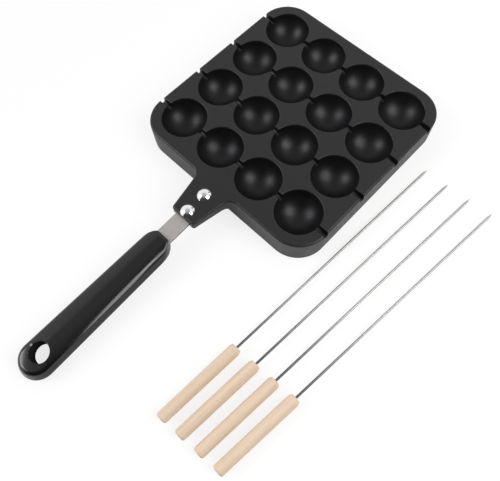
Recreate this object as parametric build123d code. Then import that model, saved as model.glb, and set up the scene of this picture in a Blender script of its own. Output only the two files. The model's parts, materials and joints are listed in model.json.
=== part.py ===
from build123d import *
import os
from math import atan, cos, degrees, pi, sin, sqrt, tan

# Takoyaki pan for a gas hob, with its four turning picks. Millimetres and degrees.
# X runs along the oil channels, the handle lies along -Y, and Z is up.
# The origin is the centre of the pan's foot, on the surface that the pan stands on.

# ---------------------------------------------------------------- cooking plate
cups_per_side = 4
cup_mouth_diameter = 40.0
cup_depth = 19.0
cup_pitch = 44.3
cup_wall = 2.8
lip_radius = 0.8            # rounding of the cup mouths and of the channel edges
rim_margin = 9.3            # top plate between the outermost cup mouths and the sides
pan_height = 25.0
pan_corner_radius = 27.0
pan_edge_radius = 2.0       # rounding of the outer top edge, lug included
foot_edge_radius = 0.6
plate_thickness = 6.0
skirt_thickness = 3.0
channel_width = 4.6
channel_depth = 6.0
channel_floor_radius = 1.9
channel_wall = 2.8          # metal beside and below the channels, under the plate

# ---------------------------------------------------------------- handle
handle_slope = 3.2          # lug, strip and grip run down from the pan by this angle

# ---------------------------------------------------------------- lug
lug_reach = 36.75           # from the pan's side to the lug's end
lug_level = 3.65            # level stretch before the lug's top slopes down
lug_bend_radius = 100.0
lug_root_width = 38.0
lug_end_width = 24.4
lug_plate_thickness = 4.5   # above the strip
lug_side_depth = 9.5        # from the pan's top to the underside of the lug's sides
lug_root_radius = 8.0
lug_under_radius = 11.0     # where the lug's underside meets the pan's side
lug_corner_radius = 2.4

# ---------------------------------------------------------------- rivets
rivet_setback = 6.0         # from the lug's end to the rear rivet's centre
rivet_spacing = 19.0
rivet_shank_diameter = 6.0
rivet_head_diameter = 11.8
rivet_head_height = 2.8
rivet_tail_diameter = 9.6
rivet_tail_height = 1.8
rivet_clearance = 0.05

# ---------------------------------------------------------------- steel strip
strip_width = 15.3
strip_thickness = 2.5
strip_edge_radius = 0.4
strip_setback = 4.0         # solid lug between the pan's side and the strip's end
seat_clearance = 0.35       # beside and before the strip in the lug
neck_length = 21.4          # bare strip between the lug and the grip
tang_length = 60.0

# ---------------------------------------------------------------- grip
grip_length = 148.8
grip_front_width = 28.1
grip_end_width = 32.0
grip_thickness = 13.8
grip_widest_drop = 2.6      # the widest line lies this far below the strip's middle
grip_upper_draft = 21.0     # lean of the sides above the widest line
grip_lower_draft = 15.0
grip_front_flat = 3.1       # straight middle of the front, between the rounded shoulders
grip_end_flat = 4.0         # straight middle of the end
grip_side_radius = 3.0      # along the widest line
grip_top_radius = 4.0
grip_bottom_radius = 3.0
slot_clearance = 0.1
slot_end_gap = 1.0
hang_hole_diameter = 16.6
hang_hole_setback = 21.3    # from the grip's end to the hole's centre
hang_hole_lip = 0.5

# ---------------------------------------------------------------- grip screw
screw_place = 24.0          # from the grip's front
screw_diameter = 4.0
screw_head_diameter = 7.6
screw_head_height = 2.4
screw_head_radius = 0.8     # rounding of the head's face
screw_clearance = 0.05
screw_well_clearance = 0.3
screw_recess = 2.8          # from the grip's underside up to the screw's head
screw_slot_length = 4.6
screw_slot_width = 1.1
screw_slot_depth = 1.2

# ---------------------------------------------------------------- picks
pick_count = 4
pick_length = 300.0
pick_handle_length = 75.0
pick_handle_diameter = 10.2 # at the nose
pick_butt_diameter = 9.7
pick_nose_length = 2.5
pick_nose_taper = 1.0
pick_butt_radius = 2.0
needle_diameter = 2.0
needle_point_length = 5.0
needle_point_diameter = 0.3
needle_embed = 30.0
needle_fit = 0.02
first_pick_x = 106.8        # the middle of the first pick
first_pick_y = -101.1
pick_spacing = 19.83
pick_step_y = 1.1           # added for each pick
first_pick_heading = 2.91   # from +Y towards +X
pick_fan = 0.65             # added for each pick

# ---------------------------------------------------------------- worked out
pan_side = (cups_per_side - 1) * cup_pitch + cup_mouth_diameter + 2 * rim_margin
pan_half = pan_side / 2
cup_radius = cup_mouth_diameter / 2
cup_sphere = (cup_radius**2 + cup_depth**2) / (2 * cup_depth)
cup_centre_z = pan_height - cup_depth + cup_sphere
lug_end_y = -pan_half - lug_reach
lug_under_z = pan_height - lug_side_depth
slope = handle_slope * pi / 180
# along the handle, from the line where the lug starts to slope
lug_end = (lug_level - lug_reach) / cos(slope)
rivet_places = [lug_end + rivet_setback + i * rivet_spacing for i in range(2)]
strip_start = lug_level - strip_setback
grip_front = lug_end - neck_length
tang_end = grip_front - tang_length
strip_axis_z = -lug_plate_thickness - strip_thickness / 2
overshoot = 1.0             # how far a cutter runs past the surface it cuts


def handle_frame():
    """The handle's own frame: origin on the lug's top where it starts to slope, y towards the pan."""
    up = (0, -sin(slope), cos(slope))
    return Plane(origin=(0, -pan_half - lug_level, pan_height), x_dir=(1, 0, 0), z_dir=up)


def on_grip(along=0.0):
    """A place on the strip's middle plane, at a distance from the grip's front towards its end."""
    return handle_frame() * Pos(0, grip_front - along, strip_axis_z)


def slot_tool(width, depth, floor_radius, lip, length):
    """A channel cutter along X, its open side at z = 0, with rounded lips and floor corners."""
    half = width / 2
    bend = 1 - sqrt(0.5)
    with BuildPart() as tool:
        with BuildSketch(Plane.YZ.offset(-length / 2)):
            with BuildLine():
                Polyline((0, overshoot), (half + lip, overshoot), (half + lip, 0))
                ThreePointArc((half + lip, 0), (half + lip * bend, -lip * bend), (half, -lip))
                Line((half, -lip), (half, -depth + floor_radius))
                ThreePointArc(
                    (half, -depth + floor_radius),
                    (half - floor_radius * bend, -depth + floor_radius * bend),
                    (half - floor_radius, -depth),
                )
                Polyline((half - floor_radius, -depth), (0, -depth), (0, overshoot))
            make_face()
            mirror(about=Plane.YZ)
        extrude(amount=length)
    return tool.part


def cup_tool():
    """The hollow of one cup about the Z axis: a bowl with a rounded lip, open at the pan's top."""
    reach = cup_sphere + lip_radius
    lip_z = pan_height - lip_radius
    lip_x = sqrt(reach**2 - (cup_centre_z - lip_z) ** 2)
    share = cup_sphere / reach
    touch_x = lip_x * share
    touch_z = cup_centre_z + (lip_z - cup_centre_z) * share
    floor_z = cup_centre_z - cup_sphere
    middle = sqrt(0.5) * cup_sphere
    lean = atan((cup_centre_z - lip_z) / lip_x)
    half_turn = (pi / 2 + lean) / 2
    bow_x = lip_x - lip_radius * sin(half_turn)
    bow_z = lip_z + lip_radius * cos(half_turn)
    with BuildPart() as tool:
        with BuildSketch(Plane.XZ):
            with BuildLine():
                ThreePointArc((0, floor_z), (middle, cup_centre_z - middle), (touch_x, touch_z))
                ThreePointArc((touch_x, touch_z), (bow_x, bow_z), (lip_x, pan_height))
                Polyline(
                    (lip_x, pan_height),
                    (lip_x, pan_height + overshoot),
                    (0, pan_height + overshoot),
                    (0, floor_z),
                )
            make_face()
        revolve(axis=Axis.Z)
    return tool.part


def pan_outline():
    """The casting from above: a round-cornered square with the tapering lug on its -Y side."""
    taper = (lug_root_width - lug_end_width) / 2 / lug_reach
    inner_y = -pan_half + skirt_thickness
    inner_half = lug_root_width / 2 + taper * skirt_thickness
    end_half = lug_end_width / 2
    plate = RectangleRounded(pan_side, pan_side, pan_corner_radius)
    lug = Polygon(
        (-inner_half, inner_y),
        (-end_half, lug_end_y),
        (end_half, lug_end_y),
        (inner_half, inner_y),
        align=None,
    )
    outline = plate + lug
    outline = fillet(outline.vertices().sort_by(Axis.Y)[:2], lug_corner_radius)
    on_side = [v for v in outline.vertices() if abs(v.Y + pan_half) < 0.01]
    roots = sorted(on_side, key=lambda v: abs(v.X))[:2]
    return fillet(roots, lug_root_radius)


def lug_space():
    """The air above the sloping top of the lug, and the air below it."""
    bend_y = -pan_half - lug_level
    far_y = lug_end_y - overshoot
    far_z = pan_height + (far_y - bend_y) * tan(slope)
    above = Polygon(
        (-pan_half, pan_height),
        (-pan_half, pan_height + overshoot),
        (far_y, pan_height + overshoot),
        (far_y, far_z),
        (bend_y, pan_height),
        align=None,
    )
    bend = [v for v in above.vertices() if abs(v.X - bend_y) < 0.01]
    above = fillet(bend, lug_bend_radius)
    below = Polygon(
        (-pan_half, -overshoot),
        (-pan_half, lug_under_z),
        (far_y, lug_under_z),
        (far_y, -overshoot),
        align=None,
    )
    corner = [v for v in below.vertices() if v.X > far_y and v.Y > 0]
    below = fillet(corner, lug_under_radius)
    return extrude(Plane.YZ * (above + below), lug_root_width, both=True)


def top_rim(pan):
    """The outer top edges of plate and lug, without the seams where the lug's top bends."""
    lowest = pan_height - lug_reach * tan(slope)
    rim = [edge for edge in pan.edges() if edge.bounding_box().min.Z > lowest - 0.01]
    seams = [
        edge
        for edge in rim
        if abs(edge.center().X) < 0.01 and lug_end_y + 0.01 < edge.center().Y < 0
    ]
    return [edge for edge in rim if edge not in seams]


def strip_seat():
    """The groove under the lug that takes the strip, open at the lug's end."""
    front = strip_start + seat_clearance
    length = front - lug_end + overshoot
    height = lug_side_depth
    seat = Box(strip_width + 2 * seat_clearance, length, height)
    middle_z = -lug_plate_thickness - height / 2
    return handle_frame() * Pos(0, front - length / 2, middle_z) * seat


def rivet_hole(y):
    radius = rivet_shank_diameter / 2 + rivet_clearance
    return handle_frame() * Pos(0, y, strip_axis_z) * Cylinder(radius, 2 * lug_side_depth)


def pan_casting():
    """The cast plate: cups, oil channels, skirt and lug in one piece."""
    grid = GridLocations(cup_pitch, cup_pitch, cups_per_side, cups_per_side)
    pan = extrude(pan_outline(), pan_height) - lug_space()
    pan = fillet(pan.faces().sort_by(Axis.Z)[0].edges(), foot_edge_radius)
    pan = fillet(top_rim(pan), pan_edge_radius)

    hollow_side = pan_side - 2 * skirt_thickness
    hollow_plan = RectangleRounded(hollow_side, hollow_side, pan_corner_radius - skirt_thickness)
    hollow_depth = pan_height - plate_thickness
    hollow = Pos(0, 0, -overshoot) * extrude(hollow_plan, hollow_depth + overshoot)
    bowl = Pos(0, 0, cup_centre_z) * Sphere(cup_sphere + cup_wall)
    rows = GridLocations(0, cup_pitch, 1, cups_per_side)
    rib = Pos(0, 0, pan_height - (channel_depth + channel_wall) / 2) * Box(
        pan_side, channel_width + 2 * channel_wall, channel_depth + channel_wall
    )
    pan -= hollow - [place * bowl for place in grid] - [place * rib for place in rows]
    pan -= [place * cup_tool() for place in grid]
    channel = Pos(0, 0, pan_height) * slot_tool(
        channel_width, channel_depth, channel_floor_radius, lip_radius, pan_side + 2 * overshoot
    )
    pan -= [place * channel for place in rows]
    pan -= strip_seat()
    pan -= [rivet_hole(y) for y in rivet_places]
    return pan


def handle_strip():
    """The flat steel bar from its seat under the lug to the end of the tang in the grip."""
    length = strip_start - tang_end
    strip = Box(strip_width, length, strip_thickness)
    strip = fillet(strip.edges().filter_by(Axis.Y), strip_edge_radius)
    strip = handle_frame() * Pos(0, (strip_start + tang_end) / 2, strip_axis_z) * strip
    strip -= [rivet_hole(y) for y in rivet_places]
    screw_radius = screw_diameter / 2 + screw_clearance
    return strip - on_grip(screw_place) * Cylinder(screw_radius, grip_thickness)


def hole_tool(diameter, lip, half_height):
    """A through-hole about the Z axis whose two mouths, at +-half_height, flare out with a round lip."""
    radius = diameter / 2
    bend = 1 - sqrt(0.5)
    top = half_height + overshoot
    with BuildPart() as tool:
        with BuildSketch(Plane.XZ):
            with BuildLine():
                Polyline((0, 0), (radius, 0), (radius, half_height - lip))
                ThreePointArc(
                    (radius, half_height - lip),
                    (radius + lip * bend, half_height - lip * bend),
                    (radius + lip, half_height),
                )
                Polyline((radius + lip, half_height), (radius + lip, top), (0, top), (0, 0))
            make_face()
        revolve(axis=Axis.Z)
    return tool.part + mirror(tool.part, about=Plane.XY)


def grip_body():
    """The moulded body: two halves that lean in from the widest line, with all edges rounded."""
    outline = Polygon(
        (-grip_front_width / 2, 0),
        (-grip_end_width / 2, -grip_length),
        (grip_end_width / 2, -grip_length),
        (grip_front_width / 2, 0),
        align=None,
    )
    front_radius = (grip_front_width - grip_front_flat) / 2
    end_radius = (grip_end_width - grip_end_flat) / 2
    outline = fillet(outline.vertices().group_by(Axis.Y)[-1], front_radius)
    outline = fillet(outline.vertices().group_by(Axis.Y)[0], end_radius)
    outline = Pos(0, 0, -grip_widest_drop) * outline
    upper_height = grip_thickness / 2 + grip_widest_drop
    lower_height = grip_thickness / 2 - grip_widest_drop
    body = extrude(outline, upper_height, taper=grip_upper_draft)
    body += extrude(outline, lower_height, dir=(0, 0, -1), taper=grip_lower_draft)
    widest = [e for e in body.edges() if abs(e.bounding_box().max.Z + grip_widest_drop) < 0.01]
    body = fillet(widest, grip_side_radius)
    body = fillet(body.faces().sort_by(Axis.Z)[-1].edges(), grip_top_radius)
    return fillet(body.faces().sort_by(Axis.Z)[0].edges(), grip_bottom_radius)


def handle_grip():
    """The grip: its body with the hang hole, the slot for the strip's tang and the screw well."""
    hole = hole_tool(hang_hole_diameter, hang_hole_lip, grip_thickness / 2)
    grip = grip_body() - Pos(0, hang_hole_setback - grip_length, 0) * hole
    slot_length = tang_length + slot_end_gap
    slot = Box(
        strip_width + 2 * slot_clearance,
        slot_length + overshoot,
        strip_thickness + 2 * slot_clearance,
    )
    grip -= Pos(0, (overshoot - slot_length) / 2, 0) * slot

    well_floor = screw_recess + screw_head_height - grip_thickness / 2
    well_radius = screw_head_diameter / 2 + screw_well_clearance
    well_depth = well_floor + grip_thickness / 2 + overshoot
    well = Pos(0, 0, well_floor - well_depth / 2) * Cylinder(well_radius, well_depth)
    shank_top = strip_thickness / 2 + screw_diameter / 2
    shank_length = shank_top - well_floor + overshoot
    shank = Pos(0, 0, shank_top - shank_length / 2) * Cylinder(
        screw_diameter / 2 + screw_clearance, shank_length
    )
    grip -= Pos(0, -screw_place, 0) * (well + shank)
    return on_grip() * grip


def grip_screw():
    """The pan-head screw that comes up from below and holds the grip on the tang."""
    head_bottom = screw_recess - grip_thickness / 2
    head_top = head_bottom + screw_head_height
    shank_top = strip_thickness / 2 + screw_diameter / 2 - screw_well_clearance
    head = Pos(0, 0, (head_bottom + head_top) / 2) * Cylinder(
        screw_head_diameter / 2, screw_head_height
    )
    head = fillet(head.edges().sort_by(Axis.Z)[0], screw_head_radius)
    arm = Box(screw_slot_length, screw_slot_width, 2 * screw_slot_depth)
    cross = Pos(0, 0, head_bottom) * (arm + Rot(0, 0, 90) * arm)
    shank = Pos(0, 0, (head_top + shank_top) / 2) * Cylinder(
        screw_diameter / 2, shank_top - head_top
    )
    return on_grip(screw_place) * (head - cross + shank)


def dome(diameter, height):
    """A round head on z = 0 about the Z axis: a ball cut off at its rim."""
    radius = diameter / 2
    ball = (radius**2 + height**2) / (2 * height)
    slab = Pos(0, 0, height / 2) * Cylinder(radius, height)
    return slab & (Pos(0, 0, height - ball) * Sphere(ball))


def rivet(y):
    """One solid rivet: a high polished head on the lug and a flatter tail formed under the strip."""
    stack = lug_plate_thickness + strip_thickness
    head = dome(rivet_head_diameter, rivet_head_height)
    tail = Pos(0, 0, -stack) * Rot(180, 0, 0) * dome(rivet_tail_diameter, rivet_tail_height)
    shank = Pos(0, 0, -stack / 2) * Cylinder(rivet_shank_diameter / 2, stack)
    return handle_frame() * Pos(0, y, 0) * (head + shank + tail)


def pick_needle():
    """The steel needle along +X from the wooden handle's butt at x = 0, with a ground point."""
    radius = needle_diameter / 2
    inner_end = pick_handle_length - needle_embed
    point_start = pick_length - needle_point_length
    with BuildPart() as needle:
        with BuildSketch(Plane.XZ):
            Polygon(
                (inner_end, 0),
                (inner_end, radius),
                (point_start, radius),
                (pick_length, needle_point_diameter / 2),
                (pick_length, 0),
                align=None,
            )
        revolve(axis=Axis.X)
    return needle.part


def pick_handle():
    """The turned wooden handle along +X: a round butt at x = 0, a slow swell and a tapered nose."""
    radius = pick_handle_diameter / 2
    nose_start = pick_handle_length - pick_nose_length
    with BuildPart() as handle:
        with BuildSketch(Plane.XZ):
            Polygon(
                (0, 0),
                (0, pick_butt_diameter / 2),
                (nose_start, radius),
                (pick_handle_length, radius - pick_nose_taper),
                (pick_handle_length, 0),
                align=None,
            )
        revolve(axis=Axis.X)
    turned = fillet(handle.part.edges().group_by(Axis.X)[0], pick_butt_radius)
    bore_radius = needle_diameter / 2 + needle_fit
    bore_start = pick_handle_length - needle_embed
    bore_length = needle_embed + overshoot
    bore = Pos(bore_start + bore_length / 2, 0, 0) * Rot(0, 90, 0) * Cylinder(bore_radius, bore_length)
    return turned - bore


def pick_place(index):
    """Where a pick lies: on the front edge of its handle and on the needle's point, butt lifted."""
    handle_radius = pick_handle_diameter / 2
    needle_radius = needle_diameter / 2
    span = pick_length - needle_point_length - (pick_handle_length - pick_nose_length)
    tilt = atan((handle_radius - needle_radius) / span)
    point_rest_z = needle_radius * cos(tilt) - needle_point_length * sin(tilt)
    middle_z = point_rest_z + pick_length / 2 * sin(tilt)
    heading = 90 - (first_pick_heading + index * pick_fan)
    middle_x = first_pick_x + index * pick_spacing
    middle_y = first_pick_y + index * pick_step_y
    place = Pos(middle_x, middle_y, middle_z) * Rot(0, 0, heading) * Rot(0, degrees(tilt), 0)
    return place * Pos(-pick_length / 2, 0, 0)


nodes = {
    "pan_casting": pan_casting(),
    "handle_strip": handle_strip(),
    "handle_grip": handle_grip(),
    "grip_screw": grip_screw(),
    "rivet_rear": rivet(rivet_places[0]),
    "rivet_front": rivet(rivet_places[1]),
}
for pick in range(pick_count):
    nodes[f"pick_{pick + 1}_handle"] = pick_place(pick) * pick_handle()
    nodes[f"pick_{pick + 1}_needle"] = pick_place(pick) * pick_needle()

os.makedirs("parts", exist_ok=True)
for name, shape in nodes.items():
    export_step(shape, f"parts/{name}.step")
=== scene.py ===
import json
from math import acos, atan, atan2, cos, pi, radians, sin, sqrt

import bmesh
import bpy
from mathutils import Matrix, Quaternion, Vector


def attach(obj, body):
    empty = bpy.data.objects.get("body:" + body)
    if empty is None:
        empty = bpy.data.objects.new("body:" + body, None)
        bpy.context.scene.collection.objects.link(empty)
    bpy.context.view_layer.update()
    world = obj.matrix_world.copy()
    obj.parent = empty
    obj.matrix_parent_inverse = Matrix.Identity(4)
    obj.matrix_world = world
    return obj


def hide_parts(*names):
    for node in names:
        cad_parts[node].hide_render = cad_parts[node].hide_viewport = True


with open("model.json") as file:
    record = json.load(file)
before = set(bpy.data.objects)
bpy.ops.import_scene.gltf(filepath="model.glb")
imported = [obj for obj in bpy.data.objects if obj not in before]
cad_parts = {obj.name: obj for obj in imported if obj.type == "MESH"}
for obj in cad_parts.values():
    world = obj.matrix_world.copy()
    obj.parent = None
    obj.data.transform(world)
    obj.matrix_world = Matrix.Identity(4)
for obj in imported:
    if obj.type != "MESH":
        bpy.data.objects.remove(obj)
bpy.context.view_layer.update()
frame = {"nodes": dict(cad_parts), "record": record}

# ---------------------------------------------------------------- the view
# The camera stands close over the near right side of the pan and looks down its
# handle, a little rolled, so the far cups are visibly smaller than the near ones.
camera_place = Vector((0.17235, -0.21766, 0.40572))
camera_aim = Vector((0.05542, -0.11101, 0.025))
camera_roll = radians(-4.08)
camera_lens = 37.99
camera_sensor = 36.0
camera_near = 0.01

camera = bpy.data.objects.new("camera", bpy.data.cameras.new("camera"))
camera.data.lens = camera_lens
camera.data.sensor_width = camera_sensor
camera.data.clip_start = camera_near
camera.location = camera_place
camera.rotation_mode = "QUATERNION"
looking = (camera_aim - camera_place).to_track_quat("-Z", "Y")
camera.rotation_quaternion = looking @ Quaternion((0, 0, 1), camera_roll)
bpy.context.scene.collection.objects.link(camera)
bpy.context.scene.camera = camera
bpy.context.scene.view_settings.view_transform = "Standard"


# ---------------------------------------------------------------- the studio
# A bright room, dark only behind the camera, with a floor of white paper. A near soft
# box stands on the right and a broad, cooler one far off on the left, and a narrow
# strip box, flagged off from the pan, lights the grip alone.
def add_node(tree, kind, links=None, **settings):
    """A shader node with its settings, its named or numbered inputs set or linked."""
    node = tree.nodes.new(kind)
    for name, value in settings.items():
        setattr(node, name, value)
    for name, value in (links or {}).items():
        if isinstance(value, bpy.types.NodeSocket):
            tree.links.new(value, node.inputs[name])
        else:
            node.inputs[name].default_value = value
    return node


def maths(tree, operation, *values):
    """The result of one maths node."""
    node = add_node(tree, "ShaderNodeMath", dict(enumerate(values)), operation=operation)
    return node.outputs[0]


def product(tree, first, *others):
    """The product of two or more values."""
    for other in others:
        first = maths(tree, "MULTIPLY", first, other)
    return first


def span(tree, value, start, end, low=0.0, high=1.0, kind="SMOOTHSTEP"):
    """Low before start, high after end, and a soft step between them."""
    links = {"Value": value, "From Min": start, "From Max": end, "To Min": low, "To Max": high}
    return add_node(tree, "ShaderNodeMapRange", links, interpolation_type=kind).outputs[0]


def ramp(tree, value, stops):
    """A curve of grey levels, from a list of (place, level)."""
    node = add_node(tree, "ShaderNodeValToRGB", {"Fac": value})
    elements = node.color_ramp.elements
    while len(elements) < len(stops):
        elements.new(1.0)
    for element, (place, level) in zip(elements, stops):
        element.position = place
        element.color = (level, level, level, 1)
    return node.outputs["Color"]


def blend(tree, share, first, second):
    """A colour between two others, the second where the share is 1."""
    links = {0: share, 6: first, 7: second}
    return add_node(tree, "ShaderNodeMix", links, data_type="RGBA").outputs[2]


# sine of the height above the horizon, and the brightness there
wall_levels = [(0.0, 0.95), (0.60, 0.95), (0.80, 0.85), (0.90, 0.52), (1.0, 0.52)]
dark_levels = [(0.0, 0.05), (0.64, 0.05), (0.85, 0.15), (0.95, 0.30), (0.995, 0.52)]
dark_azimuth = radians(-25)
dark_half_width = radians(78)
dark_softness = radians(9)
# a dark doorway in the wall behind the pan
gap_azimuth = radians(92)
gap_outer = radians(9)
gap_inner = radians(4)
gap_top = (0.42, 0.52)
gap_foot = (0.08, 0.16)
white = (1, 1, 1, 1)

world = bpy.data.worlds.new("studio")
bpy.context.scene.world = world
world.use_nodes = True
sky = world.node_tree
sky.nodes.clear()
direction = add_node(sky, "ShaderNodeTexCoord").outputs["Generated"]
part = add_node(sky, "ShaderNodeSeparateXYZ", {"Vector": direction}).outputs
level = add_node(sky, "ShaderNodeCombineXYZ", {"X": part["X"], "Y": part["Y"]}).outputs[0]
level = add_node(sky, "ShaderNodeVectorMath", {0: level}, operation="NORMALIZE").outputs[0]


def toward(azimuth):
    """The cosine of the angle between the ray's level direction and an azimuth."""
    links = {0: level, 1: (cos(azimuth), sin(azimuth), 0)}
    return add_node(sky, "ShaderNodeVectorMath", links, operation="DOT_PRODUCT").outputs["Value"]


behind_camera = span(
    sky,
    toward(dark_azimuth),
    cos(dark_half_width + dark_softness),
    cos(dark_half_width - dark_softness),
)
gap = product(
    sky,
    span(sky, toward(gap_azimuth), cos(gap_outer), cos(gap_inner)),
    span(sky, part["Z"], *gap_top, 1.0, 0.0),
    span(sky, part["Z"], *gap_foot),
)
dark_share = maths(sky, "MAXIMUM", behind_camera, gap)
walls = ramp(sky, part["Z"], wall_levels)
dark_side = ramp(sky, part["Z"], dark_levels)
room = blend(sky, dark_share, walls, dark_side)
room_light = add_node(sky, "ShaderNodeBackground", {"Color": room, "Strength": 1.0})
white_light = add_node(sky, "ShaderNodeBackground", {"Color": white, "Strength": 1.0})
ray = add_node(sky, "ShaderNodeLightPath").outputs
seen = maths(sky, "MAXIMUM", ray["Is Camera Ray"], ray["Is Transmission Ray"])
backdrop = add_node(
    sky, "ShaderNodeMixShader", {0: seen, 1: room_light.outputs[0], 2: white_light.outputs[0]}
)
add_node(sky, "ShaderNodeOutputWorld", {"Surface": backdrop.outputs[0]})


def soft_box(name, aim, azimuth, elevation, distance, size, watts, colour):
    """A soft box seen from its aim at an azimuth from +X and an angle above the floor."""
    lamp = bpy.data.lights.new(name, "AREA")
    lamp.shape = "RECTANGLE"
    lamp.size, lamp.size_y = size
    lamp.energy = watts
    lamp.color = colour
    place = bpy.data.objects.new(name, lamp)
    turn, rise = radians(azimuth), radians(elevation)
    away = Vector((cos(rise) * cos(turn), cos(rise) * sin(turn), sin(rise)))
    place.location = Vector(aim) + distance * away
    place.rotation_mode = "QUATERNION"
    place.rotation_quaternion = (-away).to_track_quat("-Z", "Y")
    bpy.context.scene.collection.objects.link(place)
    return place


pan_middle = (0.03, -0.06, 0.02)
grip_front = (0.011, -0.20, 0.013)
warm_white = (1.0, 0.99, 0.97)
cool_white = (0.94, 0.96, 1.0)

soft_box(
    "soft_box_right",
    aim=pan_middle,
    azimuth=16.0,
    elevation=43.0,
    distance=0.90,
    size=(0.58, 0.64),
    watts=6.0,
    colour=warm_white,
)
soft_box(
    "soft_box_left",
    aim=pan_middle,
    azimuth=-134.0,
    elevation=34.0,
    distance=2.50,
    size=(1.20, 1.20),
    watts=28.4,
    colour=cool_white,
)
strip_box = soft_box(
    "strip_box",
    aim=grip_front,
    azimuth=-4.0,
    elevation=36.0,
    distance=0.90,
    size=(0.19, 1.00),
    watts=3.2,
    colour=warm_white,
)
strip_box.light_linking.receiver_collection = bpy.data.collections.new("lit_by_strip_box")

# the paper is lifted towards white where it is looked at, and less where it is mirrored
floor_half = 3.0
paper_colour = (0.93, 0.93, 0.93, 1)
paper_lift = 0.78
mirrored_lift = 0.30
corners = ((-1, -1), (1, -1), (1, 1), (-1, 1))

floor_mesh = bpy.data.meshes.new("floor")
floor_mesh.from_pydata(
    [(x * floor_half, y * floor_half, 0) for x, y in corners], [], [(0, 1, 2, 3)]
)
floor = bpy.data.objects.new("floor", floor_mesh)
bpy.context.scene.collection.objects.link(floor)
paper = bpy.data.materials.new("white_paper")
paper.use_nodes = True
tree = paper.node_tree
tree.nodes.clear()
ray = add_node(tree, "ShaderNodeLightPath").outputs
looked_at = maths(tree, "MAXIMUM", ray["Is Camera Ray"], ray["Is Transmission Ray"])
looked_at = product(tree, looked_at, paper_lift)
mirrored = product(tree, ray["Is Glossy Ray"], mirrored_lift)
lift = maths(tree, "MAXIMUM", looked_at, mirrored)
lit = add_node(tree, "ShaderNodeBsdfDiffuse", {"Color": paper_colour})
glow = add_node(tree, "ShaderNodeEmission", {"Color": white, "Strength": 1.0})
lifted = add_node(
    tree, "ShaderNodeMixShader", {0: lift, 1: lit.outputs[0], 2: glow.outputs[0]}
)
add_node(tree, "ShaderNodeOutputMaterial", {"Surface": lifted.outputs[0]})
floor_mesh.materials.append(paper)


# ---------------------------------------------------------------- pan casting
# One die-cast aluminium plate with sixteen bowls, oil channels and the handle lug,
# sprayed all over with a charcoal non-stick coat, with shade painted darker into its
# colour in the bowls and channels.
cup_pitch = 0.0443
cup_mouth = 0.0400
pan_height = 0.025
channel_width = 0.0046
rim_softness = 0.0006
bowl_depths = (0.0001, 0.0012)
channel_depths = (0.0004, 0.0015)
grid_softness = 0.0002
coat_top = (0.0125, 0.0125, 0.0132, 1)
# the coat's colour in the bowls and channels, darkened as painted shade
coat_hollow_shade = (0.0050, 0.0050, 0.0056, 1)
coat_grain = 0.00045
coat_grain_height = 0.00003
coat_bump = 0.6
coat_flecks = (0.86, 1.14)
coat_roughness = (0.38, 0.44)
coat_ior = 1.4
# the part of the grain's range from 0 to 1 that most of a surface falls in
grain_middle = (0.3, 0.7)
clouds_to_grain = 0.05


def fine_grain_group():
    """Two layers of mottling: a fine grain of a set size, and clouds twenty times as large."""
    group = bpy.data.node_groups.new("fine_grain", "ShaderNodeTree")
    group.interface.new_socket("Vector", in_out="INPUT", socket_type="NodeSocketVector")
    group.interface.new_socket("Grain Size", in_out="INPUT", socket_type="NodeSocketFloat")
    group.interface.new_socket("Grain", in_out="OUTPUT", socket_type="NodeSocketFloat")
    group.interface.new_socket("Clouds", in_out="OUTPUT", socket_type="NodeSocketFloat")
    inputs = add_node(group, "NodeGroupInput").outputs
    place = inputs["Vector"]
    per_metre = maths(group, "DIVIDE", 1.0, inputs["Grain Size"])
    wide = product(group, per_metre, clouds_to_grain)
    grain_links = {"Vector": place, "Scale": per_metre, "Detail": 2.0}
    cloud_links = {"Vector": place, "Scale": wide, "Detail": 3.0}
    grain = add_node(group, "ShaderNodeTexNoise", grain_links).outputs["Fac"]
    clouds = add_node(group, "ShaderNodeTexNoise", cloud_links).outputs["Fac"]
    add_node(group, "NodeGroupOutput", {"Grain": grain, "Clouds": clouds})
    return group


fine_grain = fine_grain_group()


def new_finish(name):
    """An empty material with its Principled shader and its output already joined."""
    finish = bpy.data.materials.new(name)
    finish.use_nodes = True
    finish.node_tree.nodes.clear()
    shader = add_node(finish.node_tree, "ShaderNodeBsdfPrincipled")
    add_node(finish.node_tree, "ShaderNodeOutputMaterial", {"Surface": shader.outputs[0]})
    return finish, finish.node_tree, shader


def own_place(tree):
    """The place of each point in its piece's own axes."""
    return add_node(tree, "ShaderNodeTexCoord").outputs["Object"]


def grained(tree, vector, size):
    """The fine grain group on a vector: its grain and its clouds, both about 0.5."""
    links = {"Vector": vector, "Grain Size": size}
    node = add_node(tree, "ShaderNodeGroup", links, node_tree=fine_grain)
    return node.outputs["Grain"], node.outputs["Clouds"]


def varied(tree, noise, middle, limits):
    """A value that goes from one limit to the other as the noise crosses its middle part."""
    return span(tree, noise, *middle, *limits, "LINEAR")


def shaded(tree, colour, factor):
    """A colour made lighter or darker by a factor."""
    links = {0: colour, "Scale": factor}
    return add_node(tree, "ShaderNodeVectorMath", links, operation="SCALE").outputs[0]


def bumped(tree, height, strength, distance):
    """The surface's normal, tilted by a height that changes over the surface."""
    links = {"Height": height, "Strength": strength, "Distance": distance}
    return add_node(tree, "ShaderNodeBump", links).outputs[0]


def feed(tree, shader, values):
    """Links what changes over the surface to the shader's own sockets, by their names."""
    for name, value in values.items():
        tree.links.new(value, shader.inputs[name])


def use_finish(piece, finish):
    """Gives a CAD piece its finish in each of its material slots."""
    for material_slot in piece.material_slots:
        material_slot.material = finish


def from_cell_middle(tree, along):
    """The distance from the middle of a cup's cell, along one axis of the pan."""
    cell = maths(tree, "FRACT", maths(tree, "DIVIDE", along, cup_pitch))
    return product(tree, maths(tree, "SUBTRACT", cell, 0.5), cup_pitch)


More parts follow.
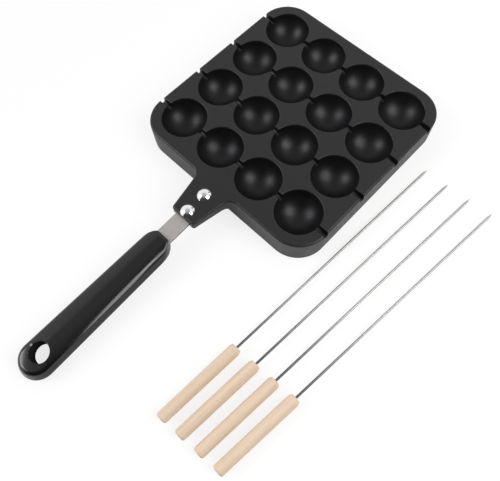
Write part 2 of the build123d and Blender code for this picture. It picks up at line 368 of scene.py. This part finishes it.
def below_top(tree, height, depths):
    """A mask that grows from 0 to 1 between two depths below the plate's top."""
    return span(tree, height, pan_height - depths[0], pan_height - depths[1])


def hollow_shade_mask(tree, place):
    """A mask of painted shade that is 1 in the bowls and channels and 0 elsewhere, in the pan's
    own axes.
    """
    axes = add_node(tree, "ShaderNodeSeparateXYZ", {"Vector": place}).outputs
    x = from_cell_middle(tree, axes["X"])
    y = from_cell_middle(tree, axes["Y"])
    squares = maths(tree, "ADD", product(tree, x, x), product(tree, y, y))
    radius = maths(tree, "SQRT", squares)
    rim = cup_mouth / 2
    bowl = span(tree, radius, rim + rim_softness, rim - rim_softness)
    bowl = product(tree, bowl, below_top(tree, axes["Z"], bowl_depths))
    beside = maths(tree, "ABSOLUTE", y)
    channel = span(tree, beside, channel_width / 2 + rim_softness, channel_width / 2)
    channel = product(tree, channel, below_top(tree, axes["Z"], channel_depths))
    edge = 2 * cup_pitch
    inside = span(tree, maths(tree, "ABSOLUTE", axes["Y"]), edge + grid_softness, edge)
    return product(tree, maths(tree, "MAXIMUM", bowl, channel), inside)


coat, tree, shader = new_finish("nonstick_coat")
place = own_place(tree)
grain, clouds = grained(tree, place, coat_grain)
# painted shade: the coat's colour is darkened in the bowls and channels
tone = blend(tree, hollow_shade_mask(tree, place), coat_top, coat_hollow_shade)
feed(
    tree,
    shader,
    {
        "Base Color": shaded(tree, tone, varied(tree, grain, grain_middle, coat_flecks)),
        "Roughness": varied(tree, clouds, grain_middle, coat_roughness),
        "Normal": bumped(tree, grain, coat_bump, coat_grain_height),
    },
)
shader.inputs["IOR"].default_value = coat_ior
use_finish(frame["nodes"]["pan_casting"], coat)


# ---------------------------------------------------------------- rivets
# Two solid aluminium rivets hold the lug on the strip. They are cold headed and
# tumbled bright, so they carry only fine soft scratches.
rivet_colour = (0.88, 0.88, 0.89)
rivet_scratch = 0.0006
rivet_tones = (0.97, 1.02)
rivet_roughness = (0.09, 0.13)
# the same part of the clouds' range, which spread less
cloud_middle = (0.35, 0.65)

rivet_metal, tree, shader = new_finish("rivet_metal")
grain, clouds = grained(tree, own_place(tree), rivet_scratch)
feed(
    tree,
    shader,
    {
        "Base Color": shaded(
            tree, rivet_colour, varied(tree, clouds, cloud_middle, rivet_tones)
        ),
        "Roughness": varied(tree, grain, grain_middle, rivet_roughness),
    },
)
shader.inputs["Metallic"].default_value = 1.0
for name in ("rivet_rear", "rivet_front"):
    use_finish(frame["nodes"][name], rivet_metal)


# ---------------------------------------------------------------- steel strip
# A flat bar of rolled stainless steel with a matt mill finish, seated under the lug
# and run into the grip as its tang. Its side faces are coloured darker than its top and bottom.
strip_colour = (0.50, 0.475, 0.462)
strip_grain = 0.0005
strip_stretch = 0.25
strip_grain_tones = (0.94, 1.06)
strip_cloud_tones = (0.96, 1.04)
strip_roughness = (0.40, 0.50)
side_facing = (0.45, 0.85)
# the share of the colour kept on the faces that face sideways
side_face_tone = 0.40

strip_steel, tree, shader = new_finish("strip_steel")
stretched = {"Vector": own_place(tree), "Scale": (1.0, strip_stretch, 1.0)}
rolled = add_node(tree, "ShaderNodeMapping", stretched).outputs[0]
grain, clouds = grained(tree, rolled, strip_grain)
facing = add_node(tree, "ShaderNodeTexCoord").outputs["Normal"]
facing = add_node(tree, "ShaderNodeSeparateXYZ", {"Vector": facing}).outputs["X"]
mottled = product(
    tree,
    varied(tree, grain, grain_middle, strip_grain_tones),
    varied(tree, clouds, cloud_middle, strip_cloud_tones),
    span(tree, maths(tree, "ABSOLUTE", facing), *side_facing, 1.0, side_face_tone),
)
feed(
    tree,
    shader,
    {
        "Base Color": shaded(tree, strip_colour, mottled),
        "Roughness": varied(tree, grain, grain_middle, strip_roughness),
    },
)
shader.inputs["Metallic"].default_value = 1.0
use_finish(frame["nodes"]["handle_strip"], strip_steel)


# ---------------------------------------------------------------- grip
# A moulded black phenolic grip with a crowned top and round shoulders. It ends in a
# lower round eye with the hang hole, whose wall the core pin leaves matt, and a fine
# flash line runs along its widest line.
grip_length = 0.1488
hole_setback = 0.0213
# the section: crowned top, round shoulder, widest line and foot
grip_front_half = 0.01400
grip_end_half = 0.01620
grip_top = 0.0066
grip_bottom = -0.0070
shoulder_in = 0.00647
shoulder_height = -0.0002
shoulder_radius = 0.0050
widest_height = -0.0029
widest_radius = 0.0026
foot_in = 0.0010
foot_radius = 0.0028
base_flat_share = 0.4
crown_steps = 12
corner_steps = 14
foot_steps = 10
flash_line = 0.00010
flash_band = 0.00012
flash_share = 0.8
# the nose, drawn in over the front of the section
nose_length = 0.0160
nose_flat = 0.0060
nose_rounding = 0.0035
nose_softness = 0.0007
nose_lean = 0.06
nose_degrees = 3
body_sections = 24
# the step down to the eye, and the eye's fan of sections
step_start = 0.1268
step_length = 0.0025
step_sections = 8
eye_top = 0.0053
eye_middle = 0.1325
eye_reach = 0.0158
fan_degrees = 3
least_gap = 1e-6
# what is cut out of the body: the hang hole, the tang's slot and the screw's well
hole_radius = 0.0083
hole_lip = 0.0007
lip_height = 0.0058
lip_slope = 0.090
lip_degrees = 15
round_sides = 96
slot_width, slot_length, slot_height = 0.0155, 0.0610, 0.0027
well_place = 0.0240
well_radius = 0.0041
well_top = -0.0017
shank_radius = 0.00205
shank_top = 0.00325
cut_past = 0.001
# the edges and the finish
edge_rounding = 0.00035
edge_segments = 3
edge_angle = radians(42)
sharp_angle = radians(35)
bore_margin = 0.0003
bore_slope = 0.3
grip_colour = (0.0035, 0.0035, 0.0038)
bore_colour = (0.0140, 0.0140, 0.0150)
peel_size = 0.0011
peel_height = 0.00002
peel_bump = 0.25
grip_tones = (0.9, 1.1)
grip_roughness = (0.10, 0.15)
bore_roughness = (0.50, 0.60)
grip_ior = 1.5

hang = next(m for m in frame["record"]["mounts"] if m["name"] == "hang_hole")
grip_up = Vector(hang["axis"]).normalized()
grip_along = Vector((0, grip_up.z, -grip_up.y))
grip_origin = Vector(hang["pos_m"]) + (grip_length - hole_setback) * grip_along
grip_place = Matrix(
    (
        (1, 0, 0, grip_origin.x),
        (0, grip_along.y, grip_up.y, grip_origin.y),
        (0, grip_along.z, grip_up.z, grip_origin.z),
        (0, 0, 0, 1),
    )
)


def arc(centre, radius, start, end, steps):
    """Points on an arc, with its angles measured from straight up towards +X."""
    points = []
    for step in range(steps + 1):
        angle = start + (end - start) * step / steps
        points.append((centre[0] + radius * sin(angle), centre[1] + radius * cos(angle)))
    return points


def tangent_angle(first, first_radius, second, second_radius):
    """The angle of the normal where one straight flank touches both round corners."""
    across, up = second[0] - first[0], second[1] - first[1]
    between = acos((first_radius - second_radius) / sqrt(across**2 + up**2))
    return atan2(across, up) % (2 * pi) - between


def half_section(half, top):
    """The right half of the grip's section, from the middle of its top to that of its base."""
    shoulder_at = (half - shoulder_in, shoulder_height)
    widest_at = (half - widest_radius, widest_height)
    foot_at = (half - foot_in - foot_radius, grip_bottom + foot_radius)
    rise = top - shoulder_at[1] - shoulder_radius
    crown_end = 2 * atan(rise / shoulder_at[0])
    crown = shoulder_at[0] / sin(crown_end) + shoulder_radius
    upper = tangent_angle(shoulder_at, shoulder_radius, widest_at, widest_radius)
    lower = tangent_angle(widest_at, widest_radius, foot_at, foot_radius)
    points = arc((0, top - crown), crown, 0, crown_end, crown_steps)
    points += arc(shoulder_at, shoulder_radius, crown_end, upper, corner_steps)[1:]
    points += arc(widest_at, widest_radius, upper, lower, corner_steps)
    points += arc(foot_at, foot_radius, lower, pi, foot_steps)
    points.append((base_flat_share * half, grip_bottom))
    points.append((0, grip_bottom))

    def flash(x, z):
        on_line = abs(z - widest_height) < flash_band and x > flash_share * half
        return flash_line if on_line else 0

    return [(x + flash(x, z), z) for x, z in points]


def closed_section(points):
    """Both halves of a section as one ring."""
    return points + [(-x, z) for x, z in reversed(points[1:-1])]


def skin(mesh, rings, folded):
    """Joins equal rings of points into a closed body. A folded last ring closes on itself."""
    made = [[mesh.verts.new(point) for point in ring] for ring in rings]
    count = len(made[0])
    for near, far in zip(made, made[1:]):
        for i in range(count):
            mesh.faces.new((near[i], near[(i + 1) % count], far[(i + 1) % count], far[i]))
    mesh.faces.new(list(reversed(made[0])))
    if folded:
        bmesh.ops.remove_doubles(mesh, verts=mesh.verts, dist=least_gap)
    else:
        mesh.faces.new(made[-1])


def solid(name, rings, folded=False):
    """An object made of one closed skin, its faces turned outward."""
    shape = bmesh.new()
    skin(shape, rings, folded)
    bmesh.ops.recalc_face_normals(shape, faces=shape.faces)
    mesh = bpy.data.meshes.new(name)
    shape.to_mesh(mesh)
    shape.free()
    made = bpy.data.objects.new(name, mesh)
    bpy.context.scene.collection.objects.link(made)
    return made


def drawn_in(points, reach):
    """A half section with its flank pushed in to a reach, as a wall with a softly rounded top."""
    widest = max(x for x, z in points)
    if widest - reach < least_gap:
        return points
    wall = reach + nose_softness**2 / (4 * (widest - reach))

    def nearer(x, z):
        limit = wall * (1 - nose_lean * max(0, z - widest_height) / (grip_top - widest_height))
        return (x + limit - sqrt((x - limit) ** 2 + nose_softness**2)) / 2

    return [(nearer(x, z) - nearer(0, z) * (1 - x / widest), z) for x, z in points]


def half_width(place):
    """Half the width of the grip's body at a distance from its front."""
    return grip_front_half + (grip_end_half - grip_front_half) * place / grip_length


def station(place):
    """The half section at a distance from the grip's front: nose, crowned body, step and eye."""
    past = min(1, max(0, (place - step_start) / step_length))
    eased = past**2 * (3 - 2 * past)
    half = half_width(place)
    points = half_section(half, grip_top + (eye_top - grip_top) * eased)
    if place < nose_length:
        points = drawn_in(points, half - (half - nose_flat) * (1 - place / nose_length) ** 2)
    if place < nose_rounding:
        drop = nose_rounding - sqrt(nose_rounding**2 - (nose_rounding - place) ** 2)
        points = [(x, z * (1 - drop / grip_top)) for x, z in points]
    return points


def grip_body():
    """One skin from the nose to the eye, whose last sections fan round the middle of its end."""
    body_length = step_start - nose_length
    places = [nose_length * (1 - cos(radians(turn))) for turn in range(0, 90, nose_degrees)]
    places += [nose_length + body_length * i / body_sections for i in range(body_sections)]
    places += [step_start + step_length * i / step_sections for i in range(step_sections + 1)]
    stations = [(place, 0.0) for place in places]
    stations += [(eye_middle, radians(turn)) for turn in range(0, 91, fan_degrees)]
    rings = []
    for place, turn in stations:
        stretch = eye_reach / half_width(place)
        section = closed_section(station(place))
        rings.append(
            [(x * cos(turn), -place - abs(x) * sin(turn) * stretch, z) for x, z in section]
        )
    return solid("grip", rings, folded=True)


def turned(name, profile, place, slope=0.0):
    """A round cutter about its own vertical axis, from (radius, height) pairs.
    A slope tilts all its edges along the grip, while its wall stays upright."""
    rings = []
    for radius, height in profile:
        ring = []
        for i in range(round_sides):
            turn = 2 * pi * i / round_sides
            along = radius * sin(turn)
            x, y = place[0] + radius * cos(turn), place[1] + along
            ring.append((x, y, height + slope * along))
        rings.append(ring)
    return solid(name, rings)


def settle(piece):
    """Takes a piece's modifiers up into its own mesh."""
    bpy.context.view_layer.update()
    graph = bpy.context.evaluated_depsgraph_get()
    settled = bpy.data.meshes.new_from_object(piece.evaluated_get(graph))
    piece.modifiers.clear()
    piece.data = settled


def cut(piece, cutter):
    """Cuts a solid away from a piece, and removes the cutter."""
    step = piece.modifiers.new("cut", "BOOLEAN")
    step.operation = "DIFFERENCE"
    step.solver = "EXACT"
    step.object = cutter
    settle(piece)
    bpy.data.objects.remove(cutter)


grip = grip_body()
hole_y = hole_setback - grip_length
hole_profile = [(hole_radius, 2 * grip_bottom)]
for turn in range(0, 91, lip_degrees):
    outward = hole_lip * (1 - cos(radians(turn)))
    down = hole_lip * (1 - sin(radians(turn)))
    hole_profile.append((hole_radius + outward, lip_height - down))
hole_profile.append((hole_radius + hole_lip, 2 * grip_top))
cut(grip, turned("hole", hole_profile, (0, hole_y), lip_slope))
slot_rings = [
    [(x * (slot_width / 2), y, z * (slot_height / 2)) for x, z in corners]
    for y in (cut_past, -slot_length)
]
cut(grip, solid("slot", slot_rings))
well_profile = [
    (well_radius, grip_bottom - cut_past),
    (well_radius, well_top),
    (shank_radius, well_top),
    (shank_radius, shank_top),
]
cut(grip, turned("well", well_profile, (0, -well_place)))
soften = grip.modifiers.new("edges", "BEVEL")
soften.width = edge_rounding
soften.segments = edge_segments
soften.limit_method = "ANGLE"
soften.angle_limit = edge_angle
settle(grip)
bore_faces = []
for face in grip.data.polygons:
    face.use_smooth = True
    beside = sqrt(face.center.x**2 + (face.center.y - hole_y) ** 2)
    if beside < hole_radius + bore_margin and abs(face.normal.z) < bore_slope:
        bore_faces.append(face.index)
grip.data.transform(grip_place)
grip.data.set_sharp_from_angle(angle=sharp_angle)
evened = grip.modifiers.new("normals", "WEIGHTED_NORMAL")
evened.keep_sharp = True


def moulded_black(name, colour):
    """A finish in the grip's plastic, softly clouded, with its grain and clouds."""
    finish, tree, shader = new_finish(name)
    grain, clouds = grained(tree, own_place(tree), peel_size)
    tones = varied(tree, clouds, cloud_middle, grip_tones)
    feed(tree, shader, {"Base Color": shaded(tree, colour, tones)})
    return finish, tree, shader, grain, clouds


grip_plastic, tree, shader, grain, clouds = moulded_black("grip_plastic", grip_colour)
feed(
    tree,
    shader,
    {
        "Roughness": varied(tree, clouds, cloud_middle, grip_roughness),
        "Normal": bumped(tree, grain, peel_bump, peel_height),
    },
)
shader.inputs["IOR"].default_value = grip_ior

grip_bore, tree, shader, grain, clouds = moulded_black("grip_bore", bore_colour)
feed(tree, shader, {"Roughness": varied(tree, grain, grain_middle, bore_roughness)})
shader.inputs["Specular IOR Level"].default_value = 0.0

# clearing the materials also clears the faces' own indices, so these are set last
grip.data.materials.clear()
grip.data.materials.append(grip_plastic)
grip.data.materials.append(grip_bore)
for index in bore_faces:
    grip.data.polygons[index].material_index = 1
strip_box.light_linking.receiver_collection.objects.link(grip)
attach(grip, "pan")
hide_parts("handle_grip")


# ---------------------------------------------------------------- grip screw
# A zinc-plated pan-head screw with a cross recess. It stands in the well in the
# grip's underside and holds the grip on the strip's tang.
screw_colour = (0.66, 0.67, 0.69)
screw_grain = 0.0003
screw_tones = (0.9, 1.05)
screw_roughness = (0.2, 0.32)

screw_steel, tree, shader = new_finish("screw_steel")
grain, clouds = grained(tree, own_place(tree), screw_grain)
feed(
    tree,
    shader,
    {
        "Base Color": shaded(
            tree, screw_colour, varied(tree, clouds, cloud_middle, screw_tones)
        ),
        "Roughness": varied(tree, grain, grain_middle, screw_roughness),
    },
)
shader.inputs["Metallic"].default_value = 1.0
use_finish(frame["nodes"]["grip_screw"], screw_steel)


# ---------------------------------------------------------------- pick handles
# Four handles turned from pale unvarnished hardwood with a fine straight grain, and
# bored at the front for the needle.
wood_light = (0.690, 0.540, 0.405, 1)
wood_dark = (0.600, 0.430, 0.305, 1)
wood_grain = 0.0004
wood_grain_height = 0.00004
wood_bump = 0.3
wood_tones = (0.94, 1.04)
wood_roughness = 0.7
streak_scale = 420.0
streak_middle = (0.35, 0.75)
streak_shares = (0.0, 0.5)
pick_heading = radians(3.9)
fibre_stretch = 0.03

pick_wood, tree, shader = new_finish("pick_wood")
straight = add_node(
    tree, "ShaderNodeMapping", {"Vector": own_place(tree), "Rotation": (0, 0, pick_heading)}
).outputs[0]
fibres = add_node(
    tree, "ShaderNodeMapping", {"Vector": straight, "Scale": (1.0, fibre_stretch, 1.0)}
).outputs[0]
grain, clouds = grained(tree, fibres, wood_grain)
streak_links = {"Vector": fibres, "Scale": streak_scale, "Detail": 3.0}
streaks = add_node(tree, "ShaderNodeTexNoise", streak_links).outputs["Fac"]
tint = blend(
    tree, span(tree, streaks, *streak_middle, *streak_shares), wood_light, wood_dark
)
feed(
    tree,
    shader,
    {
        "Base Color": shaded(tree, tint, varied(tree, grain, grain_middle, wood_tones)),
        "Normal": bumped(tree, grain, wood_bump, wood_grain_height),
    },
)
shader.inputs["Roughness"].default_value = wood_roughness
for pick in range(1, 5):
    use_finish(frame["nodes"][f"pick_{pick}_handle"], pick_wood)


# ---------------------------------------------------------------- pick needles
# Needles of stainless wire with a ground point, pressed into the handles. Drawing
# leaves them matt, and their colour is painted darker towards the handle as shade.
needle_colour = (0.46, 0.455, 0.45)
needle_grain = 0.0003
needle_stretch = 0.05
needle_tones = (0.93, 1.07)
needle_roughness = (0.48, 0.58)
# painted shade: the needles darken to this share of their colour towards the handle, between
# these places along Y
handle_shade_tone = 0.26
handle_shade_start = -0.176
handle_shade_end = -0.075

needle_steel, tree, shader = new_finish("needle_steel")
place = own_place(tree)
drawn = add_node(
    tree,
    "ShaderNodeMapping",
    {"Vector": place, "Rotation": (0, 0, pick_heading), "Scale": (1.0, needle_stretch, 1.0)},
).outputs[0]
grain, clouds = grained(tree, drawn, needle_grain)
along = add_node(tree, "ShaderNodeSeparateXYZ", {"Vector": place}).outputs["Y"]
# the grain's tone, times the painted shade towards the handle
tones = product(
    tree,
    varied(tree, grain, grain_middle, needle_tones),
    span(tree, along, handle_shade_start, handle_shade_end, handle_shade_tone, 1.0),
)
feed(
    tree,
    shader,
    {
        "Base Color": shaded(tree, needle_colour, tones),
        "Roughness": varied(tree, clouds, cloud_middle, needle_roughness),
    },
)
shader.inputs["Metallic"].default_value = 1.0
for pick in range(1, 5):
    use_finish(frame["nodes"][f"pick_{pick}_needle"], needle_steel)
